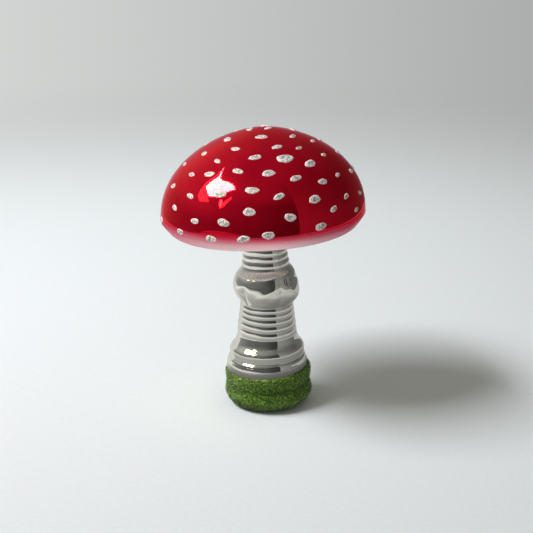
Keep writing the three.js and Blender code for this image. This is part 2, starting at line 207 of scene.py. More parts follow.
# Fineness
CAP_SEGMENTS = 360
CAP_DOME_STEPS = 110
CAP_LIP_STEPS = 40
CAP_UNDERSIDE_STEPS = 40
CAP_LINING_STEPS = 60
STEM_SEGMENTS = 416
FOOT_ROWS = 12
FOOT_RING_ROWS = 20
DRUM_ROWS = 36
FLARE_RING_ROWS = 16
BULGE_ROWS = 64
NECK_RING_ROWS = 14
NECK_END_ROWS = 8
STEM_LINING_ROWS = 60
HEEL_STEPS = 8
GLUE_STEPS = 12
MOSS_SEGMENTS = 400
MOSS_HEEL_STEPS = 24
MOSS_CURVE_STEPS = 20
MOSS_LIP_STEPS = 30
MOSS_ROWS = 110
MOSS_LINING_ROWS = 14
DAB_SPOKES = 56
DAB_RINGS = 14

# Camera
CAMERA_PLACE = (-0.0003, -0.666, 0.300)
CAMERA_AIM = (-0.0003, 0, 0.08548)
CAMERA_LENS = 79.53

CAP_UNDERSIDE_HEIGHT = CAP_RIM_HEIGHT - CAP_LIP_DROP + CAP_HOLLOW
NECK_END_HEIGHT = CAP_UNDERSIDE_HEIGHT + NECK_IN_CAP
FOOT_UNDERSIDE = SOLE_THICKNESS + SEAT_GAP
NOTCH_HEIGHT = FOOT_HEIGHT + FOOT_RING_HEIGHT
STEP_HEIGHT = NOTCH_HEIGHT + DRUM_HEIGHT


# Lines and surfaces

def bezier(*points, steps=400):
    share = np.linspace(0, 1, steps + 1)[:, None]
    a, b, c, d = (np.array(point, float) for point in points)
    rest = 1 - share
    return a * rest**3 + 3 * b * share * rest**2 + 3 * c * share**2 * rest + d * share**3


def lengths(line):
    """Distance of each point from the line's start, along the line."""
    return np.concatenate([[0], np.cumsum(np.hypot(*np.diff(line, axis=0).T))])


def even(line, steps):
    """The same line with points at equal distances."""
    along = lengths(line)
    wanted = np.linspace(0, along[-1], steps + 1)
    return np.column_stack([np.interp(wanted, along, line[:, 0]), np.interp(wanted, along, line[:, 1])])


def inset(line, depth):
    """A line of [radius, height] points moved to its left: into the glass, on the outside of the cap."""
    slope = np.gradient(line, axis=0)
    slope /= np.linalg.norm(slope, axis=1, keepdims=True)
    return line + depth * np.column_stack([slope[:, 1], -slope[:, 0]])


def quarter_round(radius, height, corner, steps, reach=None):
    """A rounded lower edge, as high as its corner, that reaches inwards as far or by a reach of its own."""
    angle = np.linspace(-math.pi / 2, 0, steps + 1)
    inwards = corner if reach is None else reach
    return np.column_stack([
        radius - inwards + inwards * np.cos(angle),
        height + corner + corner * np.sin(angle),
    ])


def turns(segments):
    return np.linspace(0, 2 * math.pi, segments, endpoint=False)


def around(radius, height, turn):
    """Points round the axis, from arrays that share one shape."""
    return np.stack([radius * np.sin(turn), -radius * np.cos(turn), height], -1)


def summed(parts, phases, turn, height):
    """The sum of waves that go round and up a surface."""
    return sum(strength * np.sin(count * turn + height / rise + phase)
               for (strength, count, rise), phase in zip(parts, phases))


def waves(turn, height, seed):
    """A slow, even wave over a surface, within about 1 either way, as blown glass has."""
    phases = np.random.default_rng(seed).uniform(0, 2 * math.pi, len(WAVES))
    return summed(WAVES, phases, turn, height)


def lattice_faces(columns, rows):
    """Quads over a lattice whose columns close in a ring, facing out where rows go up the outside."""
    here = np.arange(columns)[:, None] * rows + np.arange(rows - 1)
    there = np.roll(np.arange(columns), -1)[:, None] * rows + np.arange(rows - 1)
    return np.stack([here, there, there + 1, here + 1], -1).reshape(-1, 4)


def store(mesh, key, numbers):
    """Keeps a number for each point of a mesh, which its material reads."""
    layer = mesh.attributes.new(key, "FLOAT", "POINT")
    layer.data.foreach_set("value", np.asarray(numbers, np.float32).ravel())


def mesh_piece(name, points, material, values, faces=None):
    """A smooth closed piece of the ornament, from points in millimetres: a lattice, or with faces given."""
    if faces is None:
        faces = lattice_faces(*points.shape[:2])
    mesh = bpy.data.meshes.new(name)
    mesh.from_pydata((points.reshape(-1, 3) * MM).tolist(), [], faces.tolist())
    for key, numbers in values.items():
        store(mesh, key, numbers)
    shaped = bmesh.new()
    shaped.from_mesh(mesh)
    bmesh.ops.remove_doubles(shaped, verts=shaped.verts, dist=1e-7)
    bmesh.ops.recalc_face_normals(shaped, faces=shaped.faces)
    shaped.to_mesh(mesh)
    shaped.free()
    mesh.polygons.foreach_set("use_smooth", np.ones(len(mesh.polygons), bool))
    mesh.materials.append(material)
    piece = bpy.data.objects.new(name, mesh)
    bpy.context.scene.collection.objects.link(piece)
    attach(piece, "root")
    return piece


# The bent axis

def axis_frame(height):
    """Sideways place, height and tilt of the stem's bent axis."""
    bend_radius = (BEND_END - BEND_START) / LEAN
    along = np.clip(height - BEND_START, 0, BEND_END - BEND_START)
    angle = along / bend_radius
    straight = height - BEND_START - along
    side = -bend_radius * (1 - np.cos(angle)) - straight * np.sin(angle)
    return side, BEND_START + bend_radius * np.sin(angle) + straight * np.cos(angle), angle


def bent(points):
    side, height, angle = axis_frame(points[..., 2])
    across = points[..., 0]
    return np.stack([side + across * np.cos(angle), points[..., 1], height + across * np.sin(angle)], -1)


NECK_END = axis_frame(np.float64(CAP_UNDERSIDE_HEIGHT))


def on_neck(points):
    """Points of the upright cap, set askew and leant with the end of the neck."""
    x, y, height = np.moveaxis(points, -1, 0)
    x = x + CAP_CROWN_SHIFT * np.maximum(0, height - CAP_RIM_HEIGHT) / CAP_DOME
    height = height - CAP_UNDERSIDE_HEIGHT
    side, lift, angle = NECK_END
    turned_x = x * math.cos(angle) - height * math.sin(angle)
    turned_height = x * math.sin(angle) + height * math.cos(angle)
    return np.stack([side + turned_x, y, lift + turned_height], -1)


def off_neck(points):
    """The inverse of on_neck."""
    side, lift, angle = NECK_END
    x, y, height = points[..., 0] - side, points[..., 1], points[..., 2] - lift
    upright_x = x * math.cos(angle) + height * math.sin(angle)
    upright_height = height * math.cos(angle) - x * math.sin(angle) + CAP_UNDERSIDE_HEIGHT
    upright_x -= CAP_CROWN_SHIFT * np.maximum(0, upright_height - CAP_RIM_HEIGHT) / CAP_DOME
    return np.stack([upright_x, y, upright_height], -1)


# Cap outlines

CAP_LIP_HEIGHT = CAP_RIM_HEIGHT - CAP_LIP_DROP
CAP_HOLE_RADIUS = NECK_TOP_RADIUS + SEAT_GAP
cap_dome = bezier(
    (0, CAP_RIM_HEIGHT + CAP_DOME),
    (CAP_CROWN_REACH, CAP_RIM_HEIGHT + CAP_DOME),
    (CAP_RADIUS, CAP_RIM_HEIGHT + CAP_FLANK_REACH),
    (CAP_RADIUS, CAP_RIM_HEIGHT),
)
cap_lip = bezier(
    (CAP_RADIUS, CAP_RIM_HEIGHT),
    (CAP_RADIUS, CAP_RIM_HEIGHT - CAP_RIM_EDGE),
    (CAP_LIP_RADIUS + CAP_LIP_REACH, CAP_LIP_HEIGHT),
    (CAP_LIP_RADIUS, CAP_LIP_HEIGHT),
    steps=CAP_LIP_STEPS,
)
cap_underside = bezier(
    (CAP_LIP_RADIUS, CAP_LIP_HEIGHT),
    ((2 * CAP_LIP_RADIUS + CAP_HOLE_RADIUS) / 3, CAP_LIP_HEIGHT),
    ((CAP_LIP_RADIUS + 2 * CAP_HOLE_RADIUS) / 3, CAP_UNDERSIDE_HEIGHT),
    (CAP_HOLE_RADIUS, CAP_UNDERSIDE_HEIGHT),
)
cap_front = np.vstack([cap_dome, cap_lip[1:]])
cap_front_lengths = lengths(cap_front)


def make_cap(material):
    underside = even(cap_underside, CAP_UNDERSIDE_STEPS)[1:]
    outer = np.vstack([even(cap_dome, CAP_DOME_STEPS), cap_lip[1:], underside])
    skin = np.vstack([cap_front, cap_underside[1:]])
    inner = inset(even(skin, CAP_LINING_STEPS), CAP_WALL)
    outer[0, 0] = inner[0, 0] = 0
    inner[-1, 0] = CAP_HOLE_RADIUS
    profile = np.vstack([inner, outer[::-1]])
    turn = turns(CAP_SEGMENTS)[:, None]
    radius, height = profile[:, 0], profile[:, 1]
    row = np.arange(len(profile))
    lacquered = row >= len(inner) + len(underside)
    below = (row >= len(inner)) & ~lacquered
    inward = np.clip((CAP_LIP_RADIUS - radius) / (CAP_LIP_RADIUS - CAP_HOLE_RADIUS), 0, 1)
    on_dome = np.clip((height - CAP_LIP_HEIGHT) / CAP_DOME, 0, 1) * np.clip(radius / CAP_RADIUS, 0, 1)
    uneven = radius + CAP_WAVE * waves(turn, height, seed=3) * on_dome
    pleat = CAP_PLEAT * np.cos(CAP_PLEATS * turn) * np.sin(math.pi * inward) * below
    points = around(uneven, height + pleat, turn + 0 * uneven)

    below_rim = np.clip((CAP_RIM_HEIGHT - height) / CAP_LIP_DROP, -1, 1)
    bare_below = 1 + BARE_UNDERSIDE * np.clip(BARE_RISE * inward, 0, 1)
    lowered = (FADE_DROP + FADE_TILT * np.sin(turn)) * lacquered
    bare = np.where(lacquered, below_rim, bare_below) - lowered
    folds = (0.5 + 0.5 * np.cos(CAP_PLEATS * turn + FOLD_DRIFT * np.sin(FOLD_DRIFT_WAVES * turn))) ** 2
    folds = folds * np.clip(FOLD_RISE * inward, 0, 1) * below
    return mesh_piece("cap", on_neck(points), material, {"bare": bare, "folds": folds})


# Stem outline from the cap down: its corners, and the handles of the curves between them as shares of the way

DRUM_SHARE = (DRUM_RADIUS - STEP_RADIUS) / (NOTCH_RADIUS - STEP_RADIUS)
stem_corners = np.array([
    (NECK_TOP_RADIUS, CAP_UNDERSIDE_HEIGHT),
    (NECK_BASE_RADIUS, NECK_BASE_HEIGHT),
    (BULGE_RADIUS, BULGE_HEIGHT),
    (WAIST_RADIUS, WAIST_HEIGHT),
    (STEP_RADIUS, STEP_HEIGHT),
    (NOTCH_RADIUS, NOTCH_HEIGHT),
    (FOOT_RADIUS, FOOT_HEIGHT),
    (HEEL_RADIUS, HEEL_HEIGHT),
])
stem_handles = np.array([
    [(0, 1 / 3), (1 / 2, 2 / 3)],
    [(0.125, 0.2), (1, 0.5)],
    [(0, 0.5), (0.8, 0.8)],
    [(0.4, 1 / 3), (0.8, 2 / 3)],
    [(0.2 * DRUM_SHARE, 0.375), (DRUM_SHARE, 0.5)],
    [(0.55, 0.22), (1, 0.57)],
    [(0, 1 / 3), (1, 2 / 3)],
])
stem_line = np.vstack([
    bezier(start, start + first * (end - start), start + second * (end - start), end)
    for start, end, (first, second) in zip(stem_corners, stem_corners[1:], stem_handles)
])[::-1]

# Heights of the grooves between the rings
flare_rings = FLARE_RING_GROWTH ** -np.arange(FLARE_RINGS, dtype=float)
flare_rings *= (WAIST_HEIGHT - STEP_HEIGHT) / flare_rings.sum()
flare_grooves = np.concatenate([[STEP_HEIGHT], STEP_HEIGHT + np.cumsum(flare_rings)])
neck_grooves = np.arange(NECK_BASE_HEIGHT, CAP_UNDERSIDE_HEIGHT - SEAT_GAP - GLUE_BEAD, NECK_RING_HEIGHT)


def plain_stem_radius(height):
    return np.interp(height, stem_line[:, 1], stem_line[:, 0])


def ring_swell(height):
    """How far the rings stand out: an even swell from one groove to the next."""
    swell = np.zeros_like(height)
    for grooves in (flare_grooves, neck_grooves):
        ring = np.clip(np.searchsorted(grooves, height, side="right"), 1, len(grooves) - 1)
        low, high = grooves[ring - 1], grooves[ring]
        share = np.clip((height - low) / (high - low), 0, 1)
        swell += 4 * RING_SWELL * (high - low) * share * (1 - share)
    return swell


def lobe_crease(turn, height):
    """The depth of the creases between the bulge's lobes."""
    half = np.where(height > BULGE_HEIGHT, NECK_BASE_HEIGHT - BULGE_HEIGHT, BULGE_HEIGHT - WAIST_HEIGHT)
    away = np.clip(np.abs(height - BULGE_HEIGHT) / half, 0, 1)
    valley = 1 - np.abs(np.sin(LOBES * (turn - LOBE_FIRST_TURN) / 2))
    above = np.clip(1 - (height - BULGE_HEIGHT) / LOBE_FADE, LOBE_TOP_SHARE, 1)
    return LOBE_CREASE * valley**2 * (1 - away**2) * above


def bulge_unevenness(turn, height):
    """Pleats of the bulge's shoulder, where the glass was drawn in, and its belly's twist and soft dents."""
    shoulder = np.clip(1 - np.abs(height - SHOULDER_HEIGHT) / SHOULDER_REACH, 0, 1)
    pleats = np.cos(SHOULDER_PLEATS * turn + PLEAT_DRIFT * np.sin(PLEAT_DRIFT_WAVES * turn))
    pleats = pleats * (1 - PLEAT_FADE + PLEAT_FADE * np.sin(PLEAT_FADE_WAVES * turn + 1))
    above = (height - BULGE_HEIGHT) / (BULGE_HEIGHT - WAIST_HEIGHT)
    dents = summed(DENTS, DENT_PHASES, turn, height)
    twist = (height - BULGE_HEIGHT) * np.sin(turn + BULGE_TWIST_TURN)
    inner = np.clip(1 - above**2, 0, 1)
    return SHOULDER_PLEAT * pleats * shoulder + (BULGE_DENT * dents - BULGE_TWIST * twist) * inner


def steepened(height, middle, reach, depth):
    """How far a surface is drawn in above a middle height, and stands out below it, to be steeper there."""
    way = (height - middle) / reach
    return depth * np.sin(2 * math.pi * way) * np.clip(1 - way**2, 0, 1)


def stem_extra(height):
    """Steeper middles of the drum, the ring over the foot and the shoulder, and a wider foot of the neck."""
    drum_middle = (NOTCH_HEIGHT + STEP_HEIGHT) / 2
    ring_middle = NOTCH_HEIGHT - FOOT_RING_STEEP_DROP
    drum = steepened(height, drum_middle, DRUM_STEEP_REACH, DRUM_STEEPENING)
    ring = steepened(height, ring_middle, FOOT_RING_STEEP_REACH, FOOT_RING_STEEPENING)
    shoulder = steepened(height, SHOULDER_STEEP_HEIGHT, SHOULDER_STEEP_REACH, SHOULDER_STEEPENING)
    above = np.clip(1 - (height - NECK_BASE_HEIGHT) / NECK_FLARE_REACH, 0, 1) ** 2
    below = np.clip(1 - (NECK_BASE_HEIGHT - height) / NECK_FLARE_REACH_DOWN, 0, 1)
    flare = NECK_FLARE * np.where(height > NECK_BASE_HEIGHT, above, below)
    return flare - drum - ring - shoulder


def drum_shift(turn, height):
    """How much higher the drum sits at a turn: it was blown askew."""
    away = (height - (NOTCH_HEIGHT + STEP_HEIGHT) / 2) / DRUM_HEIGHT
    return DRUM_TILT * np.sin(turn) * np.clip(1 - away**2, 0, 1)


def ring_rows(grooves, steps):
    rings = zip(grooves, grooves[1:])
    return np.concatenate([np.linspace(low, high, steps, endpoint=False) for low, high in rings])


def make_stem(material):
    skin_heights = np.concatenate([
        np.linspace(HEEL_HEIGHT, FOOT_HEIGHT, FOOT_ROWS, endpoint=False),
        np.linspace(FOOT_HEIGHT, NOTCH_HEIGHT, FOOT_RING_ROWS, endpoint=False),
        np.linspace(NOTCH_HEIGHT, STEP_HEIGHT, DRUM_ROWS, endpoint=False),
        ring_rows(flare_grooves, FLARE_RING_ROWS),
        np.linspace(WAIST_HEIGHT, NECK_BASE_HEIGHT, BULGE_ROWS, endpoint=False),
        ring_rows(neck_grooves, NECK_RING_ROWS),
        np.linspace(neck_grooves[-1], NECK_END_HEIGHT, NECK_END_ROWS),
    ])
    lining_heights = np.linspace(NECK_END_HEIGHT, HEEL_HEIGHT, STEM_LINING_ROWS)
    floor = FOOT_UNDERSIDE + STEM_WALL
    heel = quarter_round(HEEL_RADIUS, FOOT_UNDERSIDE, HEEL_ROUND, HEEL_STEPS)[:-1]
    heel = np.vstack([[0, FOOT_UNDERSIDE], heel])
    inside_heel = quarter_round(HEEL_RADIUS - STEM_WALL, floor, HEEL_ROUND - STEM_WALL, HEEL_STEPS)[::-1][1:]
    turn = turns(STEM_SEGMENTS)[:, None]

    over_foot = np.clip((skin_heights - FOOT_HEIGHT) / RING_DRIFT_FADE_LOW, 0, 1)
    under_cap = np.clip((NECK_END_HEIGHT - skin_heights) / RING_DRIFT_FADE_HIGH, 0, 1)
    drift = RING_DRIFT * waves(turn, skin_heights, seed=7) * over_foot * under_cap
    uneven = 1 + RING_UNEVENNESS * waves(turn, skin_heights, seed=11)
    shifted = skin_heights + drift - drum_shift(turn, skin_heights)
    skin_radius = plain_stem_radius(shifted) + stem_extra(shifted) + ring_swell(skin_heights) * uneven
    skin_radius -= lobe_crease(turn, skin_heights)
    skin_radius += bulge_unevenness(turn, skin_heights)
    lining_radius = plain_stem_radius(lining_heights) - lobe_crease(turn, lining_heights) - STEM_WALL

    radius = np.hstack([
        heel[:, 0] + 0 * turn, skin_radius, lining_radius, inside_heel[:, 0] + 0 * turn, 0 * turn,
    ])
    height = np.hstack([
        heel[:, 1] + 0 * turn, skin_heights + drift, lining_heights + 0 * turn,
        inside_heel[:, 1] + 0 * turn, floor + 0 * turn,
    ])
    points = bent(around(radius, height, turn + 0 * radius))
    moss_top = MOSS_TOP_HEIGHT + MOSS_TOP_RISE * np.sin(turn)
    # A darker, rougher band of the glass just above the flock's top edge
    dull_band = np.clip((moss_top + DULL_BAND_REACH - height) / DULL_BAND_FADE, 0, 1)
    return mesh_piece("stem", points, material, {"dull_band": dull_band})


def make_glue(material):
    inner = NECK_TOP_RADIUS + SEAT_GAP
    top = CAP_UNDERSIDE_HEIGHT - SEAT_GAP
    angle = np.linspace(math.pi, math.pi / 2, GLUE_STEPS + 1)
    face = np.column_stack([inner + GLUE_BEAD * (1 + np.cos(angle)), top - GLUE_BEAD * (1 - np.sin(angle))])
    profile = np.vstack([face, [inner, top]])
    turn = turns(STEM_SEGMENTS)[:, None]
    radius = profile[:, 0] + GLUE_UNEVENNESS * waves(turn, profile[:, 1], seed=5)
    radius[:, [0, -1]] = inner
    points = around(radius, profile[:, 1] + 0 * turn, turn + 0 * radius)
    ring = np.concatenate([points, points[:, :1]], 1)
    return mesh_piece("glue_bead", on_neck(ring), material, {})


# Flock

def moss_outline(turn):
    """The coat's outside at one turn, from the sole's middle to the top edge, and its inside back down."""
    rise = math.sin(turn)
    top = MOSS_TOP_HEIGHT + MOSS_TOP_RISE * rise
    thicker = 1 + MOSS_UNEVENNESS * rise
    lower = bezier(
        (MOSS_HEEL_COAT, MOSS_HEEL_ROUND),
        (MOSS_HEEL_COAT, (MOSS_HEEL_ROUND + MOSS_WAIST_HEIGHT) / 2),
        (MOSS_WAIST_COAT, (MOSS_HEEL_ROUND + 2 * MOSS_WAIST_HEIGHT) / 3),
        (MOSS_WAIST_COAT, MOSS_WAIST_HEIGHT),
        steps=MOSS_CURVE_STEPS,
    )
    upper = bezier(
        (MOSS_WAIST_COAT, MOSS_WAIST_HEIGHT),
        (MOSS_WAIST_COAT, (2 * MOSS_WAIST_HEIGHT + MOSS_ROLL_HEIGHT) / 3),
        (MOSS_ROLL_COAT, (MOSS_WAIST_HEIGHT + 2 * MOSS_ROLL_HEIGHT) / 3),
        (MOSS_ROLL_COAT, MOSS_ROLL_HEIGHT),
        steps=MOSS_CURVE_STEPS,
    )
    lip = bezier(
        (MOSS_ROLL_COAT, MOSS_ROLL_HEIGHT),
        (MOSS_ROLL_COAT, (MOSS_ROLL_HEIGHT + 2 * top) / 3),
        (MOSS_ROLL_COAT / 2, top),
        (0, top),
        steps=MOSS_LIP_STEPS,
    )
    coat = np.vstack([lower, upper[1:], lip[1:]])
    skin = np.column_stack([plain_stem_radius(coat[:, 1]) + coat[:, 0] * thicker, coat[:, 1]])
    heel_radius = HEEL_RADIUS + SEAT_GAP + MOSS_HEEL_COAT * thicker
    heel_reach = MOSS_HEEL_REACH + MOSS_HEEL_REACH_SWAY * rise
    heel = quarter_round(heel_radius, 0, MOSS_HEEL_ROUND, MOSS_HEEL_STEPS, heel_reach)[:-1]
    outside = even(np.vstack([heel, skin]), MOSS_ROWS)
    inside_heights = np.linspace(top, HEEL_HEIGHT, MOSS_LINING_ROWS)[1:]
    inside = np.column_stack([plain_stem_radius(inside_heights) - SEAT_GAP / 2, inside_heights])
    inside_heel = quarter_round(HEEL_RADIUS, SOLE_THICKNESS, HEEL_ROUND, HEEL_STEPS)[::-1][1:]
    return outside, np.vstack([inside, inside_heel, [0, SOLE_THICKNESS]])


def grainy(points, scale, seed):
    """Noise at each of a list of points in millimetres, from about -1 to 1."""
    start = Vector((seed, 2 * seed, 3 * seed))
    return np.array([noise.noise(Vector(point) * scale + start) for point in points])


def surface_normals(points):
    """Outward normals of a lattice of points whose first axis goes round."""
    across = np.roll(points, -1, 0) - np.roll(points, 1, 0)
    along = np.gradient(points, axis=1)
    normal = np.cross(across, along)
    return normal / np.maximum(np.linalg.norm(normal, axis=-1, keepdims=True), 1e-9)


def make_moss(material):
    """The coat, with a grain of clumped fibres, and its loose fibres as a second mesh."""
    turn = turns(MOSS_SEGMENTS)
    outside, inside = (np.array(lines) for lines in zip(*map(moss_outline, turn)))
    height = outside[..., 1]
    skin = around(outside[..., 0], height, turn[:, None] + 0 * height)
    normal = surface_normals(skin)
    flat = skin.reshape(-1, 3)
    clumps = grainy(flat, CLUMP_SCALE, seed=4) + FINE_CLUMP_SHARE * grainy(flat, FINE_CLUMP_SCALE, seed=9)
    clumps = clumps.reshape(height.shape)
    edge = np.clip(height / MOSS_GRAIN_RISE, 0, 1)
    skin = skin + normal * (MOSS_GRAIN * clumps * edge)[..., None]
    hidden = around(inside[..., 0], inside[..., 1], turn[:, None] + 0 * inside[..., 0])
    sole = np.zeros((MOSS_SEGMENTS, 1, 3))
    points = np.concatenate([sole, skin, hidden], 1)

    # Painted shade: the coat is darker in the waist's groove and towards the bottom of the heel
    groove = np.exp(-((height - MOSS_WAIST_HEIGHT) / MOSS_GROOVE_REACH) ** 2)
    heel = np.clip(1 - height / MOSS_HEEL_SHADE_REACH, 0, 1)
    # The tone follows the clumps that stand out: it varies at random, and the hollows between clumps carry
    # painted shade
    tone = MOSS_TINT + CLUMP_TINT * clumps - GROOVE_SHADE * groove - HEEL_SHADE * heel
    tint = np.full(points.shape[:2], MOSS_INSIDE_TINT)
    tint[:, 1:1 + skin.shape[1]] = np.clip(tone, 0, 1)
    coat = mesh_piece("moss", points, material, {"tint": tint})
    make_fibres(skin, normal, tone, material)
    return coat


def make_fibres(skin, normal, tone, material):
    """Short fibres that stand on the coat at random, each a thin closed spike."""
    chance = np.random.default_rng(seed=21)
    column = chance.integers(0, skin.shape[0], FIBRES)
    row = chance.integers(FIBRE_FIRST_ROW, skin.shape[1] - 1, FIBRES)
    root, out = skin[column, row], normal[column, row]
    side = np.cross(out, chance.normal(size=(FIBRES, 3)))
    side /= np.linalg.norm(side, axis=1, keepdims=True)
    other = np.cross(out, side)
    lean = chance.normal(0, FIBRE_LEAN, (FIBRES, 2))
    length = FIBRE_LENGTH * chance.uniform(*FIBRE_LENGTH_SHARES, (FIBRES, 1))
    tip = root + length * (out + lean[:, :1] * side + lean[:, 1:] * other)
    tip[:, 2] = np.maximum(tip[:, 2], FIBRE_CLEARANCE)
    foot = root - FIBRE_ROOT * out
    corners = [foot + FIBRE_WIDTH / 2 * (math.cos(a) * side + math.sin(a) * other) for a in turns(3)]
    points = np.stack([*corners, tip], 1)
    first = 4 * np.arange(FIBRES)[:, None]
    faces = np.vstack([first + [0, 2, 1], first + [0, 1, 3], first + [1, 2, 3], first + [2, 0, 3]])
    tint = np.repeat(tone[column, row][:, None] + chance.uniform(*FIBRE_TINTS, (FIBRES, 1)), 4, 1)
    # Painted shade: the three corners at each fibre's foot are darker than its tip
    tint[:, :3] *= FIBRE_ROOT_SHADE
    mesh_piece("moss_fibres", points, material, {"tint": tint}, faces)


# Dabs

def on_cap(across, along, lift, middle, turn):
    """Points on the cap: across and along its surface from a dab's middle, and a lift above it."""
    place = middle + along
    slope = np.gradient(cap_front, axis=0)
    slope /= np.linalg.norm(slope, axis=1, keepdims=True)
    radius, height, down, out = (
        np.interp(place, cap_front_lengths, values)
        for values in (cap_front[:, 0], cap_front[:, 1], slope[:, 0], -slope[:, 1])
    )
    middle_radius = np.interp(middle, cap_front_lengths, cap_front[:, 0])
    return on_neck(around(radius + lift * out, height + lift * down, turn + across / middle_radius))


def dab_place(node):
    """Where a dab's solid lies on the cap: distance from the crown along the surface, turn and width."""
    points = np.array([vertex.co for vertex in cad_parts[node].data.vertices]) / MM
    upright = off_neck(points)
    radius = np.hypot(upright[:, 0], upright[:, 1])
    middle_turn = math.atan2(upright[:, 0].mean(), -upright[:, 1].mean())
    offset = (np.arctan2(upright[:, 0], -upright[:, 1]) - middle_turn + math.pi) % (2 * math.pi) - math.pi
    away = np.hypot(cap_front[:, 0] - radius[:, None], cap_front[:, 1] - upright[:, 2:])
    place = cap_front_lengths[away.argmin(1)]
    middle = (place.min() + place.max()) / 2
    width = np.ptp(offset) * np.interp(middle, cap_front_lengths, cap_front[:, 0])
    return middle, middle_turn, width


def make_dab(name, middle, turn, width, seed, material):
    """A mound of glitter grains with an uneven outline."""
    chance = np.random.default_rng(seed)
    tall = width * DAB_TALL_SHARE * chance.uniform(*DAB_TALL_SPREAD)
    spoke = turns(DAB_SPOKES)
    outline = 1 + sum(share * np.sin(count * spoke + chance.uniform(*DAB_LOBE_PHASES))
                      for share, count in DAB_LOBES)
    outline += DAB_RAGGEDNESS * chance.normal(size=DAB_SPOKES)
    spin = chance.normal(0, DAB_SPIN)
    share = np.linspace(0, 1, DAB_RINGS + 1)
    flat_x = share * (outline * np.cos(spoke))[:, None] * width / 2
    flat_y = share * (outline * np.sin(spoke))[:, None] * tall / 2
    across = flat_x * math.cos(spin) - flat_y * math.sin(spin)
    along = flat_x * math.sin(spin) + flat_y * math.cos(spin)

    count = int(GRAIN_CROWDING * width * tall / GRAIN_SPACING**2)
    grains = chance.uniform(-GRAIN_FIELD, GRAIN_FIELD, (count, 2)) * width
    distance = np.hypot(across[..., None] - grains[:, 0], along[..., None] - grains[:, 1])
    nearest = distance.argmin(-1)
    near = np.take_along_axis(distance, nearest[..., None], -1)[..., 0]
    bump = np.clip(1 - (near / GRAIN_RADIUS) ** 2, 0, 1)
    size = chance.uniform(*GRAIN_SIZES, count)[nearest]
    mound = np.sqrt(np.clip(1 - share**4, 0, 1))
    grainy_share = np.clip(1 + GRAIN_AT_RIM - share**6, 0, 1)
    lift = (DAB_HEIGHT - GRAIN_HEIGHT) * mound + GRAIN_HEIGHT * bump * size * grainy_share
    top = on_cap(across, along, lift, middle, turn)
    base = on_cap(across[:, -1:], along[:, -1:], np.full((DAB_SPOKES, 1), -DAB_SINK), middle, turn)
    centre = on_cap(np.zeros(1), np.zeros(1), np.full(1, -DAB_SINK), middle, turn)
    points = np.concatenate([top, base, np.repeat(centre[None], DAB_SPOKES, 0)], 1)
    # Painted shade: the gaps between grains are darker than the grains' tops
    tone = bump * size * (DAB_MIDDLE_TONE + (1 - DAB_MIDDLE_TONE) * share**2) + DAB_RIM_TONE * share**3
    grain = np.concatenate([tone, np.full((DAB_SPOKES, 2), DAB_BASE_TONE)], 1)
    return mesh_piece(name, points, material, {"grain": grain})


def make_dabs(material):
    """One dab on each of its solids, and a like one behind for each front dab that finds room there."""
    places = []
    for number, node in enumerate(sorted(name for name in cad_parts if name.startswith("dab_")), 1):
        place = dab_place(node)
        places.append(place)
        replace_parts(make_dab("glitter_%02d" % number, *place, number, material), node)
    chance = np.random.default_rng(seed=5)
    behind = 0
    for middle, turn, width in list(places):
        if abs(turn) > FRONT_TURN:
            continue
        shifted = middle + chance.normal(0, BEHIND_SHIFT)
        candidate = (shifted, turn + math.pi + chance.normal(0, BEHIND_TURN_SHIFT), width)
        spot = on_cap(0, 0, 0, *candidate[:2])
        if min(np.linalg.norm(spot - on_cap(0, 0, 0, *other[:2])) for other in places) > DAB_SPACING:
            places.append(candidate)
            behind += 1
            make_dab("glitter_behind_%02d" % behind, *candidate, BEHIND_SEED + behind, material)


# Materials

FADE_CLOUD = 0.16
FADE_START = -0.47
FADE_END = 1.68
FOLD_TONE = (0.60, 0.43, 0.40)
DULL_BAND_TONE = (0.33, 0.32, 0.325)
PATCH_SHARE = 0.5
TINT_SHARE = 0.6
FLAKE_SHARE = 0.35


class Nodes:
    """The nodes of a material or a world, with short ways to add and join them."""

    def __init__(self, tree):
        self.tree = tree
        self.link = tree.links.new

    def add(self, kind, **settings):
        node = self.tree.nodes.new(kind)
        for key, value in settings.items():
            if key in node.inputs:
                node.inputs[key].default_value = value
            else:
                setattr(node, key, value)
        return node

    def placed(self, kind, **settings):
        """A node that reads the piece's own coordinates."""
        node = self.add(kind, **settings)
        self.link(self.add("ShaderNodeTexCoord").outputs["Object"], node.inputs["Vector"])
        return node

    def noise(self, **settings):
        return self.placed("ShaderNodeTexNoise", **settings).outputs["Fac"]

    def stored(self, key):
        return self.add("ShaderNodeAttribute", attribute_name=key).outputs["Fac"]

    def scaled(self, value, factor, plus):
        node = self.add("ShaderNodeMath", operation="MULTIPLY_ADD")
        self.link(value, node.inputs[0])
        node.inputs[1].default_value = factor
        self.link(plus, node.inputs[2])
        return node.outputs[0]

    def ranged(self, value, **settings):
        node = self.add("ShaderNodeMapRange", **settings)
        self.link(value, node.inputs["Value"])
        return node.outputs["Result"]

    def ramp(self, value, stops):
        node = self.add("ShaderNodeValToRGB")
        elements = node.color_ramp.elements
        while len(elements) < len(stops):
            elements.new(0.5)
        for element, (place, colour) in zip(elements, stops):
            element.position = place
            element.color = (*colour, 1)
        self.link(value, node.inputs["Fac"])
        return node.outputs["Color"]

    def tinted(self, share, colour, tint):
        """A colour that gives way to a plain tint by a share."""
        node = self.add("ShaderNodeMix", data_type="RGBA")
        self.link(share, node.inputs["Factor"])
        self.link(colour, node.inputs["A"])
        node.inputs["B"].default_value = (*tint, 1)
        return node.outputs["Result"]

    def mixed(self, share, first, second):
        """A first shader that gives way to a second one by a share."""
        node = self.add("ShaderNodeMixShader")
        self.link(share, node.inputs["Fac"])
        self.link(first, node.inputs[1])
        self.link(second, node.inputs[2])
        return node.outputs["Shader"]

    def bump(self, shader, height, strength, distance):
        node = self.add("ShaderNodeBump", Strength=strength, Distance=distance)
        self.link(height, node.inputs["Height"])
        self.link(node.outputs["Normal"], shader.inputs["Normal"])


